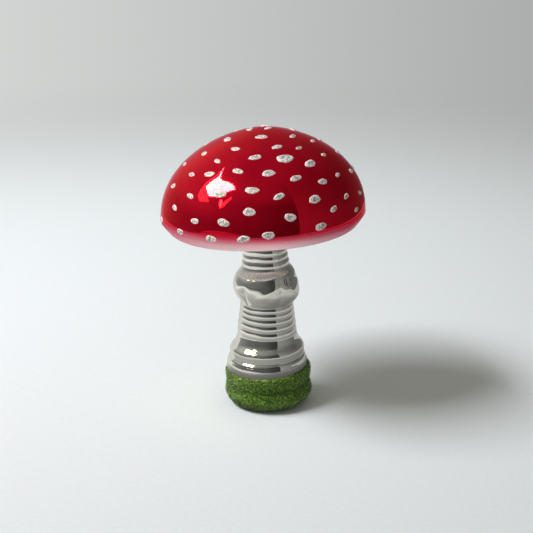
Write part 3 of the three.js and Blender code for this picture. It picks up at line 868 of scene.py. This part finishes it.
def new_material(name, settings):
    """A material, its shader with some inputs set, and its nodes."""
    made = bpy.data.materials.new(name)
    made.use_nodes = True
    shader = made.node_tree.nodes["Principled BSDF"]
    for key, value in settings.items():
        shader.inputs[key].default_value = value
    return made, shader, Nodes(made.node_tree)


def red_glass():
    """Red lacquer over silvering: it thins out at the rim, and the underside is bare silver."""
    made, shader, nodes = new_material("red_mirror_glass", {
        "Metallic": 0.8,
        "Specular IOR Level": 0.15,
        "Specular Tint": (1, 0.28, 0.42, 1),
        "Coat Weight": 0.15,
        "Coat Roughness": 0.02,
    })
    cloud = nodes.noise(Scale=38, Detail=4)
    drift = nodes.scaled(cloud, FADE_CLOUD, nodes.stored("bare"))
    fade = nodes.ramp(nodes.ranged(drift, **{"From Min": FADE_START, "From Max": FADE_END}), [
        (0.0, (0.71, 0.0008, 0.021)),
        (0.1, (0.70, 0.03, 0.08)),
        (0.19, (0.71, 0.10, 0.17)),
        (0.42, (0.97, 0.54, 0.61)),
        (0.66, (1.0, 0.84, 0.86)),
        (1.0, (1.0, 0.95, 0.91)),
    ])
    nodes.link(nodes.tinted(nodes.stored("folds"), fade, FOLD_TONE), shader.inputs["Base Color"])
    rough = nodes.ranged(nodes.noise(Scale=900, Detail=2), **{"To Min": 0.02, "To Max": 0.075})
    nodes.link(rough, shader.inputs["Roughness"])
    nodes.bump(shader, cloud, strength=0.05, distance=0.002)
    return made


def silver_glass():
    """Silvered glass with a faint cloud, darker and rougher in a band just above the flock."""
    made, shader, nodes = new_material("silver_mirror_glass", {
        "Metallic": 1,
        "Coat Weight": 0.3,
        "Coat Roughness": 0.03,
    })
    cloud = nodes.noise(Scale=45, Detail=3)
    tone = nodes.ramp(cloud, [(0.3, (0.69, 0.695, 0.68)), (0.7, (0.77, 0.77, 0.745))])
    dull_band = nodes.stored("dull_band")
    nodes.link(nodes.tinted(dull_band, tone, DULL_BAND_TONE), shader.inputs["Base Color"])
    nodes.link(nodes.ranged(dull_band, **{"To Min": 0.03, "To Max": 0.35}), shader.inputs["Roughness"])
    nodes.bump(shader, cloud, strength=0.08, distance=0.003)
    return made


def green_flock():
    """Flock: dark roots and lighter tips, the roots' darkness being painted shade, and patches of two greens.
    """
    made, shader, nodes = new_material("green_flock", {
        "Roughness": 0.95,
        "Specular IOR Level": 0.15,
        "Sheen Weight": 0.25,
        "Sheen Roughness": 0.5,
    })
    patch = nodes.noise(Scale=160, Detail=5, Roughness=0.7)
    tint = nodes.add("ShaderNodeMath", operation="MULTIPLY")
    nodes.link(nodes.stored("tint"), tint.inputs[0])
    tint.inputs[1].default_value = TINT_SHARE
    green = nodes.ramp(nodes.scaled(patch, PATCH_SHARE, tint.outputs[0]), [
        (0.15, (0.014, 0.036, 0.004)),
        (0.4, (0.055, 0.13, 0.012)),
        (0.62, (0.17, 0.31, 0.035)),
        (0.85, (0.42, 0.60, 0.14)),
    ])
    nodes.link(green, shader.inputs["Base Color"])
    nodes.bump(shader, patch, strength=0.4, distance=0.0004)
    return made


def white_glitter():
    """Glitter: pale grains with grey-brown gaps of painted shade, each grain of its own brightness, and a
    pinkish cast of painted reflection from the red cap.
    """
    made, shader, nodes = new_material("white_glitter", {"Specular IOR Level": 0.2})
    flake = nodes.placed("ShaderNodeTexVoronoi", Scale=2200)
    spread = nodes.add("ShaderNodeSeparateColor")
    nodes.link(flake.outputs["Color"], spread.inputs["Color"])
    # The darkest stops paint shade in the gaps; the pinkish cast of all stops paints the red cap's reflection
    tone = nodes.ramp(nodes.scaled(spread.outputs["Red"], FLAKE_SHARE, nodes.stored("grain")), [
        (0.05, (0.20, 0.15, 0.14)),
        (0.3, (0.48, 0.39, 0.38)),
        (0.55, (0.84, 0.77, 0.75)),
        (1.0, (0.93, 0.89, 0.87)),
    ])
    nodes.link(tone, shader.inputs["Base Color"])
    rough = nodes.ranged(spread.outputs["Green"], **{"To Min": 0.25, "To Max": 0.75})
    nodes.link(rough, shader.inputs["Roughness"])
    nodes.bump(shader, flake.outputs["Distance"], strength=0.5, distance=0.0002)
    return made


def clear_glue():
    """Cured adhesive, slightly cloudy."""
    made, shader, nodes = new_material("clear_glue", {"Roughness": 0.18})
    cloud = nodes.noise(Scale=300, Detail=3)
    tone = nodes.ramp(cloud, [(0.3, (0.70, 0.67, 0.60)), (0.7, (0.82, 0.80, 0.74))])
    nodes.link(tone, shader.inputs["Base Color"])
    nodes.bump(shader, cloud, strength=0.2, distance=0.0005)
    return made


# Studio: floor, world, key light and the room that the mirrors show

FLOOR_RADIUS = 3.0
FLOOR_SEGMENTS = 96
FLOOR_FADE_START = 0.4
FLOOR_FADE_END = 1.3
KEY_DISTANCE = 1.61
KEY_AIM = (-0.06, 0.43, 0)
KEY_SPREAD = math.radians(105)
KEY_POWER = 8.8
KEY_TURN = -79
KEY_RISE = 54
KEY_SIZE = (0.85, 0.3)
KEY_TONE = (0.95, 0.99, 1.04)
WORLD_LEFT = (0.70, 0.71, 0.70)
WORLD_RIGHT = (0.36, 0.37, 0.365)
WORLD_LIGHT = (0.25, 0.255, 0.225)
WORLD_SLOPE = 0.45

# The room
ROOM_RADIUS = 0.58
ROOM_EYE = 0.12
ROOM_TINT = (1, 0.995, 0.93)
ROOM_TURN_STEP = 0.5

# Brightness of the room by turn in degrees: the table, then the walls low, halfway up and near the ceiling. The
# table's tones are painted light, brightest on the key's side and darker on the right with the ornament's
# painted shadow
ROOM_TONES = [
    (-180, 0.80, 0.36, 0.36, 0.30), (-150, 0.92, 0.65, 0.70, 0.45), (-115, 1.00, 0.30, 0.55, 0.50),
    (-75, 0.98, 0.17, 0.45, 0.50), (-45, 0.94, 0.13, 0.24, 0.38), (-10, 0.78, 0.11, 0.14, 0.28),
    (15, 0.70, 0.06, 0.06, 0.24), (36.5, 0.64, 0.04, 0.05, 0.16), (37.3, 0.64, 0.33, 0.29, 0.21),
    (75, 0.54, 0.24, 0.17, 0.15), (105, 0.48, 0.15, 0.10, 0.13), (150, 0.50, 0.17, 0.14, 0.21),
    (180, 0.80, 0.36, 0.36, 0.30),
]
ROOM_TURNS, *ROOM_LEVELS = zip(*ROOM_TONES)
ROOM_CEILING = 0.27

# Rises in degrees: the wall's foot, its rows and the marks between which its tones change
WALL_FOOT = -11.7
WALL_RISES = range(-2, 91, 4)
WALL_MARKS = (5, 22, 32, 48, 58, 76)

# The table, as (reach, share of its tone); the low shares near the stem are the ornament's painted shade on the
# mirrored table
TABLE_REACHES = [(0.029, 0.4), (0.06, 0.45), (0.09, 0.52), (0.13, 0.68), (0.2, 0.97), (0.3, 1.03)]
TABLE_LIFT = 0.001
TABLE_FAR_TONE = 0.6

# A pale cloth beside the foot, as (turn, tone), in metres: a glowing card seen only in gloss, a painted
# reflection on the stem
CLOTH_TONES = [(-160, 0.30), (-140, 0.70), (-104, 0.80)]
CLOTH_RADIUS = 0.053
CLOTH_HEIGHTS = (0.003, 0.075)
STRIP_COLUMNS = 120

# A pale mat close below the cap's lip, as (turn, tone), in metres, its outer edge first so that it faces up: a
# glowing card seen only in gloss, a painted reflection
MAT_TONES = [(-180, 0.5), (-60, 0.6), (5, 0.7), (25, 0.52), (45, 0.4), (75, 0.33), (180, 0.5)]
MAT_RADII = (0.1, 0.045)
MAT_HEIGHT = 0.1

# Small things by the stem, glowing cards seen only in gloss as painted reflections: ranges of turn in degrees,
# foot and height in mm and half width in degrees
THINGS = [
    ("dark_things", (0.03, 0.03, 0.03), 12, (55, 100), (78, 90), (3, 9), (0.5, 1.2)),
    ("red_things", (0.40, 0.14, 0.14), 10, (45, 90), (15, 95), (1.5, 4), (1.5, 4)),
]
THINGS_RADIUS = 0.05141
THING_STEPS = 7
THING_BEND = 1.4

# Rise of the table's far edge by turn, in degrees as seen from the cap
ROOM_EDGE = [(-180, -10.2), (-82, -10.2), (-62, -6.5), (-50, -3.2), (-39, -4), (-28, -6), (-13, -10.2),
             (180, -10.2)]

# A dark line of painted shadow and, above it, a bright line of painted light along that edge, between two
# turns, and how far their parts lie from it
ROOM_EDGE_LINED = (-66, 150)
ROOM_EDGE_DARK = 0.04
ROOM_EDGE_BRIGHT = 1.2
ROOM_EDGE_STEPS = (-1.2, -1.1, -0.5, -0.4, 0.2, 0.3)

# The bright window, its two lit edges and its post, as (turn, rise) corners in degrees
WINDOW = [(-115, 55.5), (-93, 53), (-84, 53.4), (-73, 56.8), (-63, 57), (-51, 53.5), (-60, 45.5), (-56, 41.5),
          (-66, 37), (-76, 33.4), (-93, 38.4), (-98, 52.1)]
WINDOW_LEFT_EDGE = [(-109, 54), (-101, 47.9), (-98, 38.5), (-90, 27), (-82, 23.5), (-70, 27.6), (-78, 33.2),
                    (-94, 39.1), (-99, 52.2)]
WINDOW_RIGHT_EDGE = [(-47, 43.8), (-45, 40.4), (-49, 27.5), (-53, 23.6), (-54, 26.4), (-51, 36.5)]
WINDOW_POST = [(-59, 34.8), (-56, 35.8), (-51, 27.5), (-53, 24.6)]
WINDOW_EYE = 0.14
WINDOW_DISTANCE = 0.551
WINDOW_TONE = (100, 100, 36)
WINDOW_EDGE_TONE = (3, 3, 1.8)
WINDOW_POST_TONE = (14, 14, 6)


def direction(turn, rise=0):
    """The way out to a turn and a rise in degrees."""
    turn, rise = math.radians(turn), math.radians(rise)
    return Vector((math.sin(turn) * math.cos(rise), -math.cos(turn) * math.cos(rise), math.sin(rise)))


def beside(turn, radius, height):
    """A place at a turn in degrees, a distance from the axis and a height."""
    return radius * direction(turn) + Vector((0, 0, height))


def only_mirrored(card):
    """A card that shows in gloss alone, and neither lights nor hides anything."""
    card.visible_camera = False
    card.visible_diffuse = False
    card.visible_shadow = False
    card.visible_transmission = False


def glow(name, tone, key=None, one_sided=False):
    """Even light of one tone, times a number stored in the mesh. A one-sided one is clear from behind."""
    made = bpy.data.materials.new(name)
    made.use_nodes = True
    made.node_tree.nodes.clear()
    nodes = Nodes(made.node_tree)
    shine = nodes.add("ShaderNodeEmission", Color=(*tone, 1))
    if key:
        nodes.link(nodes.stored(key), shine.inputs["Strength"])
    surface = shine.outputs["Emission"]
    if one_sided:
        behind = nodes.add("ShaderNodeNewGeometry").outputs["Backfacing"]
        surface = nodes.mixed(behind, surface, nodes.add("ShaderNodeBsdfTransparent").outputs["BSDF"])
    nodes.link(surface, nodes.add("ShaderNodeOutputMaterial").inputs["Surface"])
    return made


def stage_mesh(name, points, faces, material):
    mesh = bpy.data.meshes.new(name)
    mesh.from_pydata([tuple(point) for point in points], [], [tuple(face) for face in faces])
    mesh.materials.append(material)
    card = bpy.data.objects.new(name, mesh)
    bpy.context.scene.collection.objects.link(card)
    return card


def toned_card(name, points, faces, tones, one_sided=False):
    """A card of the room's tint with a tone at each point."""
    card = stage_mesh(name, points, faces, glow(name, ROOM_TINT, "tone", one_sided))
    store(card.data, "tone", tones)
    only_mirrored(card)


def room_column(turn):
    """Places and tones up one column of the room: out along the table, up the wall and over to the middle."""
    table, low, middle, high = (np.interp(turn, ROOM_TURNS, tones) for tones in ROOM_LEVELS)
    edge = np.interp(turn, *zip(*ROOM_EDGE))
    lined = ROOM_EDGE_LINED[0] < turn < ROOM_EDGE_LINED[1]
    dark = ROOM_EDGE_DARK if lined else low
    bright = ROOM_EDGE_BRIGHT if lined else low
    far = min(table, TABLE_FAR_TONE)
    wall = [(WALL_FOOT, far)]
    for step, tone in zip(ROOM_EDGE_STEPS, (far, dark, dark, bright, bright, low)):
        wall.append((edge + step, tone))
    for rise in WALL_RISES:
        wall.append((rise, np.interp(rise, WALL_MARKS, (low, middle, middle, high, high, ROOM_CEILING))))
    column = [(beside(turn, reach, TABLE_LIFT), share * table) for reach, share in TABLE_REACHES]
    for rise, tone in wall:
        level = math.cos(math.radians(rise)) if rise < 0 else 1
        column.append((ROOM_RADIUS * direction(turn, rise) / level + Vector((0, 0, ROOM_EYE)), tone))
    return column


def make_room():
    """Table, walls and ceiling of the room."""
    columns = [room_column(turn) for turn in np.arange(-180, 180 + ROOM_TURN_STEP, ROOM_TURN_STEP)]
    rows = len(columns[0])
    points = [place for column in columns for place, tone in column]
    tones = [tone for column in columns for place, tone in column]
    faces = [(c * rows + r, (c + 1) * rows + r, (c + 1) * rows + r + 1, c * rows + r + 1)
             for c in range(len(columns) - 1) for r in range(rows - 1)]
    toned_card("room", points, faces, tones)


def make_strip(name, turns_and_tones, radii, heights, one_sided=False):
    """A strip round the ornament between two edges, each with its own radius and height."""
    marks, tones = zip(*turns_and_tones)
    columns = np.linspace(marks[0], marks[-1], STRIP_COLUMNS)
    points = [beside(turn, radius, height) for turn in columns for radius, height in zip(radii, heights)]
    faces = [(2 * c, 2 * c + 2, 2 * c + 3, 2 * c + 1) for c in range(STRIP_COLUMNS - 1)]
    toned_card(name, points, faces, np.repeat(np.interp(columns, marks, tones), 2), one_sided)


def make_things():
    """Painted reflections: small dark and reddish glowing cards on the right, close to the stem, seen only in
    gloss.
    """
    chance = np.random.default_rng(seed=8)
    last = 2 * THING_STEPS - 1
    faces = [(k, last - k, last - 1 - k, k + 1) for k in range(THING_STEPS - 1)]
    number = 0
    for kind, tone, count, *ranges in THINGS:
        material = glow(kind, tone)
        for _ in range(count):
            turn, foot, tall, wide = (chance.uniform(*limits) for limits in ranges)
            heights = MM * (foot + tall * np.linspace(0, 1, THING_STEPS))
            bends = turn + np.cumsum(chance.normal(0, THING_BEND, THING_STEPS))
            sides = list(zip(bends - wide, heights)) + list(zip(bends + wide, heights))[::-1]
            points = [beside(bend, THINGS_RADIUS, height) for bend, height in sides]
            only_mirrored(stage_mesh("thing_%02d" % number, points, faces, material))
            number += 1


def make_window():
    eye = Vector((0, 0, WINDOW_EYE))
    panes = [
        ("window", WINDOW, WINDOW_TONE),
        ("window_left_edge", WINDOW_LEFT_EDGE, WINDOW_EDGE_TONE),
        ("window_right_edge", WINDOW_RIGHT_EDGE, WINDOW_EDGE_TONE),
        ("window_post", WINDOW_POST, WINDOW_POST_TONE),
    ]
    for name, corners, tone in panes:
        points = [eye + WINDOW_DISTANCE * direction(*corner) for corner in corners]
        only_mirrored(stage_mesh(name, points, [range(len(points))], glow(name, tone)))


def make_key():
    lamp = bpy.data.lights.new("key", "AREA")
    lamp.shape = "RECTANGLE"
    lamp.size, lamp.size_y = KEY_SIZE
    lamp.energy = KEY_POWER
    lamp.spread = KEY_SPREAD
    lamp.color = KEY_TONE
    key = bpy.data.objects.new("key", lamp)
    bpy.context.scene.collection.objects.link(key)
    key.location = KEY_DISTANCE * direction(KEY_TURN, KEY_RISE)
    normal = (key.location - Vector(KEY_AIM)).normalized()
    across = direction(KEY_TURN, KEY_RISE + 90).cross(normal).normalized()
    key.rotation_euler = Matrix((across, normal.cross(across), normal)).transposed().to_euler()
    key.visible_glossy = False


def make_floor():
    """A pale floor that thins out into the world far away."""
    made, shader, nodes = new_material("floor", {"Roughness": 0.9, "Specular IOR Level": 0})
    grain = nodes.noise(Scale=400, Detail=3)
    tone = nodes.ramp(grain, [(0.3, (0.83, 0.84, 0.845)), (0.7, (0.86, 0.87, 0.875))])
    nodes.link(tone, shader.inputs["Base Color"])
    reach = nodes.placed("ShaderNodeVectorMath", operation="LENGTH").outputs["Value"]
    thin = nodes.ranged(reach, interpolation_type="SMOOTHSTEP", **{
        "From Min": FLOOR_FADE_START, "From Max": FLOOR_FADE_END, "To Min": 1, "To Max": 0,
    })
    nodes.link(thin, shader.inputs["Alpha"])
    spokes = turns(FLOOR_SEGMENTS)
    points = [(0, 0, 0)] + [(FLOOR_RADIUS * math.sin(a), FLOOR_RADIUS * math.cos(a), 0) for a in spokes]
    faces = [(0, 1 + (i + 1) % FLOOR_SEGMENTS, 1 + i) for i in range(FLOOR_SEGMENTS)]
    stage_mesh("floor", points, faces, made)


def make_world():
    """A pale world for the camera and for gloss, lighter on the left as painted light from the key's side, and
    a plain soft light for the rest.
    """
    world = bpy.data.worlds.new("studio")
    bpy.context.scene.world = world
    world.use_nodes = True
    world.node_tree.nodes.clear()
    nodes = Nodes(world.node_tree)
    sideways = nodes.add("ShaderNodeSeparateXYZ")
    nodes.link(nodes.add("ShaderNodeTexCoord").outputs["Generated"], sideways.inputs["Vector"])
    slope = nodes.ranged(sideways.outputs["X"], interpolation_type="SMOOTHSTEP", **{
        "From Min": -WORLD_SLOPE, "From Max": WORLD_SLOPE,
    })
    tone = nodes.add("ShaderNodeMix", data_type="RGBA")
    nodes.link(slope, tone.inputs["Factor"])
    tone.inputs["A"].default_value = (*WORLD_LEFT, 1)
    tone.inputs["B"].default_value = (*WORLD_RIGHT, 1)
    seen = nodes.add("ShaderNodeBackground")
    nodes.link(tone.outputs["Result"], seen.inputs["Color"])
    light = nodes.add("ShaderNodeBackground", Color=(*WORLD_LIGHT, 1))
    path = nodes.add("ShaderNodeLightPath")
    shown = path.outputs["Is Camera Ray"]
    for kind in ("Is Glossy Ray", "Is Transmission Ray"):
        either = nodes.add("ShaderNodeMath", operation="MAXIMUM")
        nodes.link(shown, either.inputs[0])
        nodes.link(path.outputs[kind], either.inputs[1])
        shown = either.outputs[0]
    surface = nodes.mixed(shown, light.outputs["Background"], seen.outputs["Background"])
    nodes.link(surface, nodes.add("ShaderNodeOutputWorld").inputs["Surface"])


def make_camera():
    lens = bpy.data.cameras.new("camera")
    lens.lens = CAMERA_LENS
    camera = bpy.data.objects.new("camera", lens)
    bpy.context.scene.collection.objects.link(camera)
    camera.location = CAMERA_PLACE
    camera.rotation_euler = (Vector(CAMERA_AIM) - Vector(CAMERA_PLACE)).to_track_quat("-Z", "Y").to_euler()
    bpy.context.scene.camera = camera


def main():
    bpy.context.scene.view_settings.view_transform = "Standard"
    make_camera()
    make_world()
    make_floor()
    make_key()
    make_room()
    make_window()
    make_strip("cloth", CLOTH_TONES, 2 * [CLOTH_RADIUS], CLOTH_HEIGHTS)
    make_strip("mat", MAT_TONES, MAT_RADII, 2 * [MAT_HEIGHT], one_sided=True)
    make_things()

    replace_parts(make_cap(red_glass()), "cap_shell")
    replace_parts(make_stem(silver_glass()), "stem_shell")
    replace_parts(make_glue(clear_glue()), "joint_glue")
    coat = make_moss(green_flock())
    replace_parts(coat, "moss_base")
    make_dabs(white_glitter())


main()
